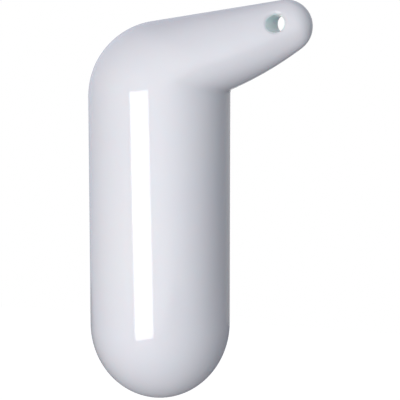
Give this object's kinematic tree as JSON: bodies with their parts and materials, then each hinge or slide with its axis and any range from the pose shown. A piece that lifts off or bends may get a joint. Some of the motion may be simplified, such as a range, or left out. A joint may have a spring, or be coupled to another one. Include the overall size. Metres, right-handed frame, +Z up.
{
  "type": "dock corner bumper",
  "caption": "Glossy hollow moulded vinyl bumper shaped like an upside-down L: a thick round leg, a domed elbow and a short tapered arm with a rope eye.",
  "frame": {"origin": "centre of the rope eye, halfway through the arm", "axes": "+Z up along the hanging leg, +X from the leg towards the tip of the arm, +Y along the rope eye"},
  "size_m": [0.2392, 0.15, 0.4221],
  "materials": {
    "white_vinyl": "smooth glossy moulded white vinyl",
    "valve_rubber": "matt black moulded rubber"
  },
  "bodies": {
    "root": {"bumper_body": "white_vinyl", "air_valve": "valve_rubber"}
  },
  "joints": []
}
